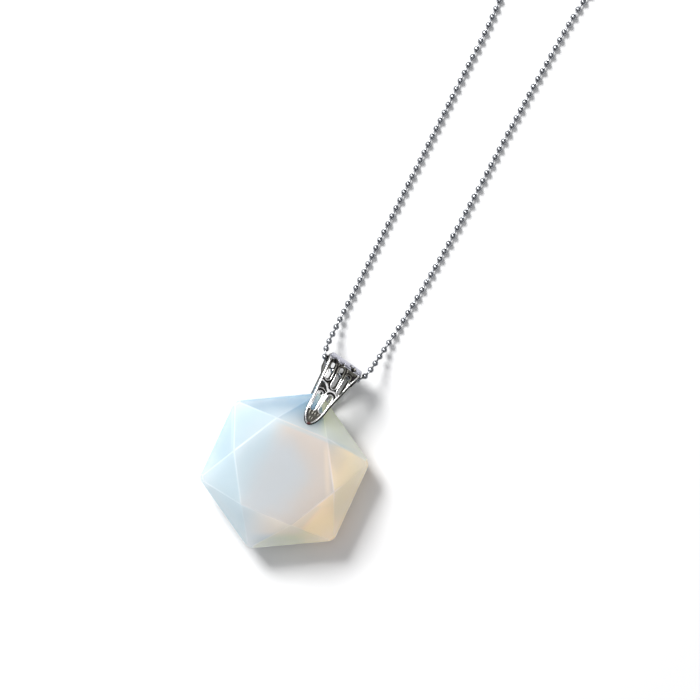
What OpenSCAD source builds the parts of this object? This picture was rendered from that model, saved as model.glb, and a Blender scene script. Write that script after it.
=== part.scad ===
// Opal necklace: a cut hexagonal stone in a pierced silver bail on a ball chain, lying flat.
// Millimetres. The ground is z = 0, and the origin is the middle of the stone's back table.

/* [Stone] */
// Distance from the stone's centre to each corner of its outline
stone_r = 21; // [20:0.5:22]
// Distance from the centre to each corner of a table
table_r = 13.2; // [12.6:0.1:13.3]
// Thickness from the back table to the front table
stone_t = 13; // [12:0.5:14]
// Height of the thin band round the stone's edge
girdle_t = 1.2; // [0.8:0.1:1.6]
// Turn of the stone's outline, anticlockwise seen from above
stone_turn = 4.1; // [2:0.1:6]
// Turn of the two tables against the outline
table_turn = 32.4; // [29:0.1:33]
// Distance from the stone's centre to the hole drilled for the bail's pegs
hole_r = 14.2; // [14.1:0.1:14.4]
// Diameter of the drilled hole
hole_d = 1.5; // [1.4:0.1:1.8]

/* [Bail] */
// Height of the bail above its pegs
bail_h = 16.9; // [16.5:0.1:17.5]
// Half width of a leg where its rounded tip ends
leg_half_w = 2.6; // [2.4:0.1:2.7]
// Half width of a leg at the top
top_half_w = 4.7; // [4.5:0.1:4.8]
// Reach of the shoulders beyond a leg's edge
shoulder_w = 0.6; // [0.3:0.1:0.7]
// Thickness of the plate at a leg's tip
tip_t = 0.3; // [0.25:0.05:0.35]
// Thickness of the plate in the loop
loop_t = 0.8; // [0.7:0.05:0.9]
// Width of the raised rim along each leg
rim_w = 0.5; // [0.4:0.05:0.6]
// Height of the raised rim above the plate
rim_h = 0.2; // [0.1:0.05:0.2]
// Half of the clear space inside the loop
loop_gap = 2.6; // [2.5:0.1:2.8]
// Diameter of the pegs
peg_d = 1.1; // [0.9:0.1:1.2]
// Length of each peg inside the stone
peg_l = 2.4; // [1.5:0.1:3]
// Turn of the bail on its pegs, clockwise seen from above
bail_turn = 5.5; // [4:0.1:6]
// Lean of the bail and of the drilled hole to the left
bail_lean = 3.6; // [0:0.1:4]

/* [Chain] */
// Diameter of a bead
bead_d = 1.5; // [1.4:0.05:1.5]
// Distance from bead to bead
pitch = 2.2; // [2.15:0.05:2.4]
// Diameter of the wire inside the beads
wire_d = 0.5; // [0.4:0.05:0.5]
// Outer diameter of the barrel clasp
clasp_d = 2.4; // [2.3:0.1:2.6]

/* [Hidden] */

SIDES = 6;
STEP_ANGLE = 360 / SIDES;
CLEAR = 0.1;
TIP_CLEAR = 0.26;
THROUGH = 40;

// Stone: the crown falls from the middle of a table's edge to a corner of the outline
mid_z = stone_t / 2;
table_apothem = table_r * cos(STEP_ANGLE / 2);
crown_fall = (mid_z - girdle_t / 2) / (stone_r - table_apothem);

// Bail: heights are measured along the leg from the pegs, depths from the mid plane
TIP_L = 1.4;
TIP_ROUND = 4.6;
TIP_STEPS = 8;
tip_gap = mid_z - (hole_r - TIP_L - table_apothem) * crown_fall + TIP_CLEAR;
// The loop inside the strap is half an ellipse, a little higher than it is deep
ARC_STEP = 7.5;
LOOP_TOP_T = 1;
LOOP_EXTRA = 0.3;
loop_r_y = loop_gap + LOOP_EXTRA;
loop_y = bail_h - LOOP_TOP_T - loop_r_y;
// The strap begins below this depth, and its shoulders between these heights
STRAP_DEPTH = 2.5;
SHOULDER_LOW = 10.8;
SHOULDER_HIGH = 12.2;
CORNER_LOW = bail_h - 2.4;
CORNER_MIDDLE = bail_h - 1.2;

// Slots as [middle of the lower end, middle of the upper end, width]
UPPER_SLOTS = [
    [[-2, 11], [-2.5, 14.6], 1.2],
    [[0.4, 9.9], [-0.05, 14.6], 1.3],
    [[2.4, 9.45], [2.2, 13.7], 1.2]
];
LOWER_SLOTS = [
    [[-0.9, 2.8], [-1.4, 6.55], 1.1],
    [[1.2, 3.4], [1.2, 6.95], 1.2]
];
// Three-cornered gap in the front leg, above its lower left slot
CORNER_GAP = [
    [-2.6, 9.2],
    [-2.05, 9.3],
    [-1.2, 8.7],
    [-0.55, 8],
    [-0.35, 7.65],
    [-0.8, 7.85],
    [-1.45, 8.25],
    [-2.05, 8.1],
    [-2.4, 7.7]
];
// Scalloped strut from rim to rim, along its upper edge and back along its lower edge
STRUT_UPPER = [
    [-3.2, 9.95],
    [-2.7, 9.95],
    [-1.9, 9.8],
    [-1.1, 9.7],
    [-0.75, 9.3],
    [-0.3, 8.85],
    [0.4, 8.75],
    [1.1, 8.95],
    [1.6, 9],
    [1.9, 8.65],
    [2.55, 8.35],
    [3.2, 8.7]
];
STRUT_LOWER = [
    [3, 7.8],
    [2.7, 7.85],
    [2.3, 8.1],
    [1.45, 8.45],
    [0.8, 8.45],
    [0.35, 8.1],
    [0, 7.75],
    [-0.5, 8.1],
    [-1.2, 8.85],
    [-1.95, 9.4],
    [-2.6, 9.45],
    [-3.1, 9.3]
];

// Chain: bore of a bead, play between the end beads, and walls of the clasp
bore_d = wire_d + 2 * CLEAR;
END_PLAY = 0.6;
CLASP_WALL = 0.35;
CLASP_END = 0.4;
ROUTE_STEPS = 12;
WIRE_SIDES = 6;
ground_z = bead_d / 2;
clasp_z = clasp_d / 2;

// The chain's way from the clasp down the left strand, through the bail and up the right strand
ROUTE = [
    [-5.5, 253.9, clasp_z],
    [-12, 252, ground_z],
    [-20, 246.6, ground_z],
    [-26.5, 237, ground_z],
    [-29.5, 225, ground_z],
    [-29, 210, ground_z],
    [-24.5, 190, ground_z],
    [-18, 165, ground_z],
    [-12.6, 143, ground_z],
    [-9.6, 125, ground_z],
    [-8.6, 104, ground_z],
    [-7.8, 83.5, ground_z],
    [-6.9, 60, ground_z],
    [-6.3, 46, ground_z],
    [-6.2, 42, 0.95],
    [-6, 37.5, 2],
    [-5.8, 33.4, 4],
    [-5.5, 30.6, 5.6],
    [-4.7, 28.7, 6.1],
    [-2.5, 27.4, 5.4],
    [0.6, 27, 4.9],
    [3.6, 27.4, 4.9],
    [5.8, 28.9, 5.5],
    [6.5, 31.4, 5.2],
    [6.8, 34.4, 3.6],
    [7.1, 38, 1.9],
    [7.5, 42.5, 0.95],
    [7.8, 48, ground_z],
    [8.3, 65, ground_z],
    [8.2, 83, ground_z],
    [7.9, 100, ground_z],
    [7.9, 118, ground_z],
    [8.4, 136, ground_z],
    [13, 158, ground_z],
    [20, 180, ground_z],
    [26.5, 202, ground_z],
    [29.6, 218, ground_z],
    [29.2, 230, ground_z],
    [25, 241, ground_z],
    [18.5, 247.8, ground_z],
    [12, 252, ground_z],
    [5.5, 253.9, clasp_z]
];
CLASP_Y = 254;

function corner_ring(r, turn, z) =
    [for (k = [0:SIDES - 1]) [r * cos(turn + STEP_ANGLE * k), r * sin(turn + STEP_ANGLE * k), z]];

// Two tables and two rings of corners: each side has six triangles on edges and six on corners
module cut_stone() {
    low = mid_z - girdle_t / 2;
    high = mid_z + girdle_t / 2;
    points = concat(
        corner_ring(table_r, table_turn, 0),
        corner_ring(stone_r, 0, low),
        corner_ring(stone_r, 0, high),
        corner_ring(table_r, table_turn, stone_t)
    );
    back = 0;
    lower = SIDES;
    upper = 2 * SIDES;
    front = 3 * SIDES;
    faces = [
        [for (k = [0:SIDES - 1]) back + k],
        [for (k = [SIDES - 1:-1:0]) front + k],
        for (k = [0:SIDES - 1])
            let (n = (k + 1) % SIDES)
            each [
                [lower + k, upper + k, upper + n, lower + n],
                [upper + k, front + k, upper + n],
                [front + k, front + n, upper + n],
                [lower + k, lower + n, back + k],
                [back + k, lower + n, back + n]
            ]
    ];
    polyhedron(points, faces);
}

// Places a thing drawn round the pegs' axis: x across the bail, y up the leg, z from back to front
module at_bail() {
    rotate(stone_turn) translate([0, hole_r, mid_z])
        rotate([0, 0, -stone_turn - bail_turn]) rotate([0, bail_lean, 0]) children();
}

module stone() {
    color("lightblue") difference() {
        rotate(90 + stone_turn) cut_stone();
        at_bail() cylinder(d = hole_d, h = THROUGH, center = true, $fn = 32);
    }
}

// Half the leg's width at a height: half an ellipse round the tip, then a straight taper
function leg_half(y, inset) =
    y < TIP_ROUND
        ? (leg_half_w - inset) * sqrt(max(0, 1 - pow((TIP_ROUND - y) / (TIP_ROUND + TIP_L - inset), 2)))
        : leg_half_w - inset + (top_half_w - leg_half_w) * (y - TIP_ROUND) / (bail_h - TIP_ROUND);

// Right edge of the outline from the tip up
function leg_edge(inset, top) = [
    for (k = [0:TIP_STEPS])
        let (y = TIP_ROUND - (TIP_ROUND + TIP_L - inset) * cos(90 * k / TIP_STEPS))
        [leg_half(y, inset), y],
    [leg_half(top, inset), top]
];

function mirrored(edge) = [for (k = [len(edge) - 1:-1:1]) [-edge[k][0], edge[k][1]]];

module leg_outline(inset) {
    edge = leg_edge(inset, bail_h + LOOP_TOP_T);
    polygon(concat(edge, mirrored(edge)));
}

// The strap and the back leg widen into shoulders round the loop, with rounded top corners
module shoulder_outline() {
    edge = [
        for (p = leg_edge(0, SHOULDER_LOW)) p,
        [leg_half(SHOULDER_HIGH, -shoulder_w), SHOULDER_HIGH],
        [leg_half(CORNER_LOW, -shoulder_w), CORNER_LOW],
        [leg_half(CORNER_MIDDLE, -shoulder_w / 3), CORNER_MIDDLE],
        [leg_half(bail_h, shoulder_w), bail_h + CLEAR]
    ];
    polygon(concat(edge, mirrored(edge)));
}

// A slot with round ends
module slot(row) {
    hull()
        for (end = [row[0], row[1]])
            translate(end) circle(d = row[2], $fn = 24);
}

module gaps() {
    for (row = UPPER_SLOTS)
        slot(row);
    for (row = LOWER_SLOTS)
        slot(row);
}

module raised_outline() {
    difference() {
        leg_outline(0);
        leg_outline(rim_w);
    }
    polygon(concat(STRUT_UPPER, STRUT_LOWER));
}

// One half of a face of the bent strip seen from the side, as [height, depth] from the tip to the top
function strip_side(tip_depth, loop_depth, loop_height) = concat(
    [[-TIP_L - CLEAR, tip_depth]],
    [for (a = [0:ARC_STEP:90]) [loop_y + loop_height * sin(a), loop_depth * cos(a)]]
);

// The bent strip between its inner face and a face that stands out from it by the given amounts
module strip(tip_out, loop_out, top_out) {
    inner = strip_side(tip_gap, loop_gap, loop_r_y);
    outer = strip_side(tip_gap + tip_out, loop_gap + loop_out, loop_r_y + top_out);
    front = concat(outer, [for (k = [len(inner) - 1:-1:0]) inner[k]]);
    for (side = [-1, 1])
        rotate([0, -90, 0]) linear_extrude(THROUGH, center = true)
            polygon([for (p = front) [side * p[1], p[0]]]);
}

// The part of the strip that lies within the outline drawn by the children
module cut_from_strip(tip_out, loop_out, top_out) {
    intersection() {
        strip(tip_out, loop_out, top_out);
        linear_extrude(THROUGH, center = true) children();
    }
}

module bail() {
    plate = [tip_t, loop_t, LOOP_TOP_T];
    rim = plate + [rim_h, rim_h, 0];
    color("silver") at_bail() {
        difference() {
            union() {
                cut_from_strip(plate[0], plate[1], plate[2]) leg_outline(0);
                cut_from_strip(rim[0], rim[1], rim[2]) raised_outline();
                intersection() {
                    cut_from_strip(plate[0], plate[1], plate[2]) shoulder_outline();
                    translate([-THROUGH / 2, 0, STRAP_DEPTH - THROUGH]) cube(THROUGH);
                }
            }
            linear_extrude(THROUGH, center = true) gaps();
            linear_extrude(THROUGH) polygon(CORNER_GAP);
        }
        for (side = [0, 180])
            rotate([0, side, 0]) peg();
    }
}

// A peg stands on the inner face of a leg and goes into the drilled hole
module peg() {
    face = tip_gap - (tip_gap - loop_gap) * TIP_L / (loop_y + TIP_L);
    surface = mid_z - (hole_r - table_apothem) * crown_fall;
    translate([0, 0, surface - peg_l]) cylinder(d = peg_d, h = face + tip_t / 2 - surface + peg_l, $fn = 32);
}

// Smooth way through the route's points: each point's direction weighs its two neighbours by distance
function direction(k) =
    let (
        before = k > 0 ? ROUTE[k] - ROUTE[k - 1] : [-1, 0, 0],
        after = k < len(ROUTE) - 1 ? ROUTE[k + 1] - ROUTE[k] : [-1, 0, 0],
        d0 = norm(before),
        d1 = norm(after)
    )
    (before / d0 * d1 + after / d1 * d0) / (d0 + d1);

function between(k, t) =
    let (
        a = ROUTE[k],
        b = ROUTE[k + 1],
        span = norm(b - a),
        u = 1 - t
    )
    a * u * u * (1 + 2 * t) + b * t * t * (3 - 2 * t)
        + span * t * u * (direction(k) * u - direction(k + 1) * t);

start = [-END_PLAY / 2, CLASP_Y, clasp_z];
finish = [END_PLAY / 2, CLASP_Y, clasp_z];
// The clasp ends just short of the second bead on each side
SECOND_BEAD = 1.5;
clasp_half = END_PLAY / 2 + SECOND_BEAD * pitch - bead_d / 2 - CLEAR;
// Route by short steps, straight inside the clasp and nowhere below the ground
fine_way = concat(
    [start, start - [clasp_half, 0, 0]],
    [
        for (k = [0:len(ROUTE) - 2])
            for (s = [0:ROUTE_STEPS - 1])
                let (p = between(k, s / ROUTE_STEPS))
                [p[0], p[1], max(p[2], ground_z)]
    ],
    [ROUTE[len(ROUTE) - 1], finish + [clasp_half, 0, 0], finish]
);
distances = [
    for (k = 0, d = 0; k < len(fine_way); d = d + norm(fine_way[min(k + 1, len(fine_way) - 1)] - fine_way[k]), k = k + 1) d
];
way_l = distances[len(distances) - 1];
bead_count = round(way_l / pitch);
ways = [for (axis = [0:2]) [for (k = [0:len(fine_way) - 1]) [distances[k], fine_way[k][axis]]]];
// Middles of the gaps between beads: the wire is straight through each bead and bends only here
joints = [
    for (k = [0:bead_count])
        let (d = way_l * k / bead_count)
        [lookup(d, ways[0]), lookup(d, ways[1]), lookup(d, ways[2])]
];

// Puts a thing drawn along z at a point, with its z along a direction
module along(point, way) {
    translate(point) rotate([0, acos(way[2] / norm(way)), atan2(way[1], way[0])]) children();
}

module bead() {
    difference() {
        sphere(d = bead_d, $fn = 32);
        cylinder(d = bore_d, h = 2 * bead_d, center = true, $fn = 24);
    }
}

module ball_chain() {
    color("gainsboro")
        for (k = [0:bead_count - 1])
            along((joints[k] + joints[k + 1]) / 2, joints[k + 1] - joints[k]) bead();
}

// One ring of the wire's skin, square to the way at a joint
function wire_ring(k) =
    let (
        way = joints[min(k + 1, bead_count)] - joints[max(k - 1, 0)],
        side = cross(way, [0, 0, 1]) / norm(cross(way, [0, 0, 1])),
        up = cross(side, way) / norm(way)
    )
    [for (s = [0:WIRE_SIDES - 1]) joints[k] + wire_d / 2 * (side * cos(360 * s / WIRE_SIDES) + up * sin(360 * s / WIRE_SIDES))];

module chain_wire() {
    points = [for (k = [0:bead_count]) each wire_ring(k)];
    last = bead_count * WIRE_SIDES;
    faces = [
        [for (s = [WIRE_SIDES - 1:-1:0]) s],
        [for (s = [0:WIRE_SIDES - 1]) last + s],
        for (k = [0:bead_count - 1])
            for (s = [0:WIRE_SIDES - 1])
                let (a = k * WIRE_SIDES + s, b = k * WIRE_SIDES + (s + 1) % WIRE_SIDES)
                each [[a, b, b + WIRE_SIDES], [a, b + WIRE_SIDES, a + WIRE_SIDES]]
    ];
    color("gray") polyhedron(points, faces);
}

// A plain barrel that holds the two end beads, with a hole at each end for the wire
module clasp() {
    color("silver") translate([0, CLASP_Y, clasp_z]) rotate([0, 90, 0]) difference() {
        cylinder(d = clasp_d, h = 2 * clasp_half, center = true, $fn = 48);
        cylinder(d = clasp_d - 2 * CLASP_WALL, h = 2 * (clasp_half - CLASP_END), center = true, $fn = 48);
        cylinder(d = bore_d, h = 3 * clasp_half, center = true, $fn = 24);
    }
}

stone();
bail();
ball_chain();
chain_wire();
clasp();
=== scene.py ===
"""Opal pendant necklace dressed for a picture: the stone, its pierced bail, the ball chain and its clasp."""

import math

import bpy
import numpy as np
from bpy.props import FloatProperty, FloatVectorProperty, IntProperty, PointerProperty
from bpy.types import Operator, Panel, PropertyGroup
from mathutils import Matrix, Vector


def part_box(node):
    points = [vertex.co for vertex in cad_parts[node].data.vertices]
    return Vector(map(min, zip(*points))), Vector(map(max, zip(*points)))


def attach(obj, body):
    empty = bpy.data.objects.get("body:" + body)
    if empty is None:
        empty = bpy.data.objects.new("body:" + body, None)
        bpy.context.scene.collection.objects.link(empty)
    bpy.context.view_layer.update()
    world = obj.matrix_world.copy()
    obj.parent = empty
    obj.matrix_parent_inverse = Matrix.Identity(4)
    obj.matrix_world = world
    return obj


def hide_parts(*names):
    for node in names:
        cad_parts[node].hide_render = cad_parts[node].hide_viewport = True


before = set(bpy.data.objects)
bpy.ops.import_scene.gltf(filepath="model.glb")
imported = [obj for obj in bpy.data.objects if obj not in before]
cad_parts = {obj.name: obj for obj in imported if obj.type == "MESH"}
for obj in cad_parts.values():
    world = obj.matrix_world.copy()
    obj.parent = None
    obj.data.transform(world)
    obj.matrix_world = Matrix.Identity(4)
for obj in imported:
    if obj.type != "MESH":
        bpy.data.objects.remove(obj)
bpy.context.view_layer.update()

bl_info = {
    "name": "Opal Necklace",
    "version": (1, 0, 0),
    "blender": (4, 5, 0),
    "location": "View3D > Sidebar > Necklace",
    "description": "Dresses the solids of a pendant necklace with cut, cast and polished surfaces",
    "category": "Object",
}

# Shapes are worked out in millimetres and put into meshes in metres
MM = 0.001
BODY = "root"

# Stone, as the solids have it
STONE_LOW, STONE_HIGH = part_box("stone")
STONE_T = (STONE_HIGH.z - STONE_LOW.z) / MM
MID_Z = STONE_T / 2
CORNERS = 6
STONE_TURN = 4.1
TABLE_TURN = 32.4
GIRDLE_T = 1.2
TABLE_R = 13.2
# Steps of its rounded corners and polished edges, and the least bend of an edge that is polished
CORNER_STEPS = 6
POLISH_STEPS = 3
POLISH_BEND = math.radians(14)
DRILL_SIDES = 40

OPAL_COLOURS = (
    "Ice", "Mist", "Haze", "Moss", "Warm", "Clay", "Sand", "Ash", "Dusk", "Deep", "Sky", "Lit", "Pale",
    "Heart", "Blush", "Rose", "Painted_Glow",
)
# Colours round the crown, each at its own way in degrees: painted light, blue on the side towards the light
# and warm away from it, each set darker where the light falls and lighter where the facets are shaded
OPAL_WHEEL = (
    (-180, "Ice"), (-150, "Mist"), (-112, "Mist"), (-84, "Haze"), (-54, "Moss"), (-28, "Warm"), (2, "Clay"),
    (29, "Sand"), (55, "Ash"), (82, "Dusk"), (101, "Deep"), (128, "Sky"), (156, "Lit"), (180, "Ice"),
)
# Below, a way is in degrees round the plan, a reach is in radii of the stone, and a span says where a change
# starts and where it is full, then the values there if they aren't 0 and 1.
# Clouds: their scale, and how far they move the blush, the pale side and the wheel's turn
CLOUD_SCALE = 2.2
BLUSH_DRIFT = 0.35
PALE_DRIFT = 0.2
WHEEL_DRIFT = 0.5
# Tables: the grey heart, the distance from it at which they blush, and their pale side; painted light, pale
# towards the light and blushing away from it
HEART = (-0.20, -0.15, 0.0)
BLUSH_SPAN = (0.3, 0.72)
PALE_WAY = 182
PALE_SPAN = (0.14, 0.44)
# Weight of the way to a point against the way that its facet faces, where the wheel is read
POINT_WEIGHT = 0.85
# Upright part of the normal, from the tables to the crown
CROWN_SPAN = (0.97, 0.9)
# Milk of the tables that reaches out into the crown, most of it towards one way, and pale there
MILK_SPAN = (0.84, 0.54)
MILK_WAY = 108
MILK_RISE = (-0.1, 0.5, 0.25, 0.92)
VEIL_RISE = (0.2, 0.55, 0.0, 0.75)
# Rosy patch in the lower facets, painted lighter where they face away from the light: its four sides as way
# and span, and its strength
ROSE_SIDES = ((-61, 0.36, 0.44), (-61, 0.79, 0.69), (-10, 0.66, 0.53), (29, -0.5, -0.04))
ROSE_SHARE = 0.8
# Two pale lines and a warm band painted where the far facets' edges would show through the glass, as the
# way square to a line, its distance from the centre, the middle, half width and half length of the line, its
# strength and its colour
STREAKS = (
    (97, 0.52, 0.15, 0.04, 0.62, 0.5, "Lit"),
    (31, 0.502, 0.02, 0.055, 0.36, 0.25, "Warm"),
    (209, 0.606, 0.52, 0.018, 0.33, 0.5, "Mist"),
)
STREAK_CORE = 0.57
# Richer colour of the thin band round the stone, by the distance from its middle plane in metres
GIRDLE_SPAN = (0.0016, 0.0005)
GIRDLE_RICH = {"Saturation": 1.5, "Value": 0.97}
# Painted inner light, an emission that stands in for light passed through the stone: spans of the turn in
# which it shows, and how much of it is left in the rosy patch
PAINTED_GLOW_TURNS = ((-56, -34), (4, -22, 0.4, 1.0), (60, 38))
PAINTED_GLOW_IN_ROSE = (0.0, 1.0, 1.0, 0.25)
BLACK = (0.0, 0.0, 0.0, 1.0)
# Glass: roughness of the facets and of the polished edges, and its light; its emission carries the painted
# light passed through the stone
FACET_ROUGHNESS = 0.06
EDGE_ROUGHNESS = 0.45
GLASS = {
    "IOR": 1.47, "Emission_Strength": 1.0, "Subsurface_Weight": 1.0, "Subsurface_Radius": (1.0, 1.0, 1.0),
    "Subsurface_Scale": 0.02,
}
# Painted highlights on the polished edges: the way to the light, the spans of the reach towards it in which
# they are painted paler, the height above the middle plane from which they are on the dark side, and the
# highlights' colours on the two sides
LIGHT_WAY = 189
LIT_SPAN = (0.15, 0.7, 0.01, 0.14)
UNLIT_SPAN = (-0.3, -0.55, 0.0, 0.45)
TABLE_EDGE_SPAN = (0.7 * MID_Z * MM, 0.94 * MID_Z * MM)
HIGHLIGHT_SPAN = (-0.1, 0.1)
UNLIT_HIGHLIGHT = (1.0, 0.86, 0.82, 1.0)
LIT_HIGHLIGHT = (0.94, 1.0, 1.0, 1.0)

# Bail, as the solids have it: heights run up a leg from the pegs, depths from the stone's mid plane
BAIL_H = 16.9
TIP_L = 1.4
TIP_ROUND = 4.6
LEG_HALF_W = 2.6
TOP_HALF_W = 4.7
LEG_SLOPE = (TOP_HALF_W - LEG_HALF_W) / (BAIL_H - TIP_ROUND)
SHOULDER_W = 0.6
SHOULDER_HEIGHTS = (10.8, 12.2, 14.5, 15.7, 17.0)
SHOULDER_REACH = (0.0, 1.0, 1.0, 1 / 3, -1.0)
STRAP_HEIGHT = 15.8
HOLE_R = 14.2
HOLE_D = 1.5
BAIL_TURN = 5.5
BAIL_LEAN = 3.6
TIP_GAP = 5.916
TIP_RIM_T = 0.5
LOOP_Y = 13.0
LOOP_IN = (2.9, 2.6)
LOOP_OUT = (3.9, 3.6)
# Pegs: their thickness, their two ends and the bevel of the inner one
PEG_D = 1.1
PEG_FROM = 2.4
PEG_TO = TIP_GAP - 0.1
PEG_BEVEL = 0.12
# Slots as middle of the lower end, middle of the upper end, width
UPPER_SLOTS = (
    ((-2, 11), (-2.5, 14.6), 1.2), ((0.4, 9.9), (-0.05, 14.6), 1.3), ((2.4, 9.45), (2.2, 13.7), 1.2),
)
LOWER_SLOTS = (((-0.9, 2.8), (-1.4, 6.55), 1.1), ((1.2, 3.4), (1.2, 6.95), 1.2))
CORNER_GAP = (
    (-2.6, 9.2), (-2.05, 9.3), (-1.2, 8.7), (-0.55, 8), (-0.35, 7.65), (-0.8, 7.85), (-1.45, 8.25),
    (-2.05, 8.1), (-2.4, 7.7),
)
STRUT = (
    (-3.2, 9.95), (-2.7, 9.95), (-1.9, 9.8), (-1.1, 9.7), (-0.75, 9.3), (-0.3, 8.85), (0.4, 8.75),
    (1.1, 8.95), (1.6, 9), (1.9, 8.65), (2.55, 8.35), (3.2, 8.7), (3, 7.8), (2.7, 7.85), (2.3, 8.1),
    (1.45, 8.45), (0.8, 8.45), (0.35, 8.1), (0, 7.75), (-0.5, 8.1), (-1.2, 8.85), (-1.95, 9.4),
    (-2.6, 9.45), (-3.1, 9.3),
)
# Steps of the loop, a peg, a slot's end and the tip, and the distances between points on the edges of a
# slot, a leg and the strap
LOOP_STEPS = 46
PEG_SIDES = 24
SLOT_STEPS = 14
TIP_STEPS = 16
SLOT_SPACING = 0.12
LEG_SPACING = 0.2
STRAP_SPACING = 0.1

# Open loops cast in the tip as middle of the bend, radius and length of the arms, and pits beside the strap
# as middle and radius
TIP_LOOPS = ((-0.62, 1.55, 0.4, 0.8), (0.78, 1.95, 0.42, 0.9), (0.05, 0.35, 0.3, 0.5))
STRAP_PITS = ((-2.5, 15.6, 0.55), (2.25, 16.1, 0.6), (1.35, 16.5, 0.3), (-0.45, 15.75, 0.3))
# Heights at which a leg turns into the strap, and the relief's height on the strap and at the least
STRAP_SPAN = (15.35, 15.65)
STRAP_RELIEF = 0.9
LEAST_RELIEF = 0.14
# Share of the thickness up to which a point is on the inner face, and that face's painted light and shade:
# in its middle, low on the leg, in the band beside the left edge and in the shoulder
INNER_SKIN = 0.06
PAINTED_INNER_MIDDLE = 0.35
PAINTED_INNER_LOW = 0.8
PAINTED_INNER_BAND = 0.84
PAINTED_INNER_SHOULDER = 0.72
# Trace of copper at the worn tip: its middle, its span in metres with its strength
COPPER_AT = (-0.4, 13.2, 12.8)
COPPER_SPAN = (0.0007, 0.0003, 0.0, 0.85)
# Tarnish: scale and strength of its patches, the heights at which grey and bright metal show, and the added
# roughness of dull metal
TARNISH_SCALE = 2200.0
TARNISH_SHIFT = 0.2
GREY_SPAN = (0.26, 0.52)
BRIGHT_SPAN = (0.66, 0.86)
DULL_ROUGHNESS = 0.2
# Most triangles that the bail may have
BAIL_TRIANGLES = 185000

# Chain, as the solids have it
BEAD_D = 1.5
PITCH = 2.2
CLASP_D = 2.4
CLASP_Y = 254.0
END_PLAY = 0.6
BEAD_PLAY = 0.1
ROUTE_STEPS = 12
GROUND_Z = BEAD_D / 2
CLASP_Z = CLASP_D / 2
# Points of the chain's way, on the ground unless their height follows
ROUTE = (
    (-5.5, 253.9, CLASP_Z), (-12, 252), (-20, 246.6), (-26.5, 237), (-29.5, 225), (-29, 210), (-24.5, 190),
    (-18, 165), (-12.6, 143), (-9.6, 125), (-8.6, 104), (-7.8, 83.5), (-6.9, 60), (-6.3, 46),
    (-6.2, 42, 0.95), (-6, 37.5, 2), (-5.8, 33.4, 4), (-5.5, 30.6, 5.6), (-4.7, 28.7, 6.1),
    (-2.5, 27.4, 5.4), (0.6, 27, 4.9), (3.6, 27.4, 4.9), (5.8, 28.9, 5.5), (6.5, 31.4, 5.2),
    (6.8, 34.4, 3.6), (7.1, 38, 1.9), (7.5, 42.5, 0.95), (7.8, 48), (8.3, 65), (8.2, 83), (7.9, 100),
    (7.9, 118), (8.4, 136), (13, 158), (20, 180), (26.5, 202), (29.6, 218), (29.2, 230), (25, 241),
    (18.5, 247.8), (12, 252), (5.5, 253.9, CLASP_Z),
)
# A bead's holes, its bore's radius and half length, and the steps of its round wall
BEAD_HOLE = 0.35
BEAD_BORE = (0.33, 0.35)
BEAD_STEPS = 8
# A link: how far from a bead's middle it ends, its sides, its radii in half necks and their places in halves
# of its length
LINK_END = 0.5
LINK_SIDES = 10
LINK_RADII = (1.25, 1.2, 1.0, 1.0, 1.2, 1.25)
LINK_PLACES = (-1, -0.72, -0.3, 0.3, 0.72, 1)
# Clasp: how far it stays inside its solid, its wall, its rolled ends with their lip and hole, the slope
# inside, and its groove as depth and distance from the middle
CLASP_INSET = 0.01
CLASP_WALL = 0.3
CLASP_ROLL = 0.45
CLASP_LIP = 0.04
CLASP_HOLE = 0.35
CLASP_SLOPE = 0.1
CLASP_GROOVE = ((0, 1.75), (-0.09, 1.68), (-0.09, 1.56), (0, 1.49))
CLASP_SIDES = 40
ROLL_STEPS = 6

# Grain of the metals: its height in metres, how much finer its second noise is, its contrast, and for each
# metal its scale and the roughness where it is smooth and where it is rough
GRAIN_HEIGHT = 0.00001
GRAIN_FINER = 4.0
GRAIN_CONTRAST = 2.6
SILVER_GRAIN = (700.0, 0.18, 0.32)
BEAD_GRAIN = (1400.0, 0.15, 0.28)
WIRE_GRAIN = (1400.0, 0.16, 0.32)
CLASP_GRAIN = (1400.0, 0.14, 0.3)
# Steel: the haze's scale and its darkest and palest share of the colour, the tint of its gloss at the edges,
# and the wire's share of the beads' colour
HAZE_SCALE = 260.0
HAZE_SHARES = (0.86, 1.08)
EDGE_TINT = (0.3, 0.3, 0.32, 1.0)
WIRE_SHARE = 0.85

# Stage, in metres: middle of the view, the camera's far limit, half the floor's width and its height
VIEW_MIDDLE = (-0.00027, 0.03363)
CLIP_END = 20.0
FLOOR_HALF = 3.0
FLOOR_Z = -0.00002
FLOOR_ROUGHNESS = 0.9
# Soft light: its way from the picture's right, its rise, distance, size and target
KEY_WAY = math.radians(126)
KEY_RISE = 0.88
KEY_DISTANCE = 1.5
KEY_SIZE = 0.53
KEY_TARGET = (0.0, 0.03, 0.0)
# Room light by the height of a direction: low down, round the room and overhead
ROOM_COLOURS = ((0.02, 0.02, 0.024, 1.0), (0.21, 0.215, 0.23, 1.0), (0.98, 0.985, 1.0, 1.0))
WALL_SPAN = (0.25, 0.8)
CEILING_SPAN = (0.75, 0.9)


# Settings

def colour_setting(name, description, default):
    return FloatVectorProperty(
        name=name, description=description, default=default, size=3, subtype="COLOR", min=0, max=1)


def length_setting(name, description, default, precision):
    return FloatProperty(
        name=name, description=description, default=default, unit="LENGTH", precision=precision)


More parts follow.
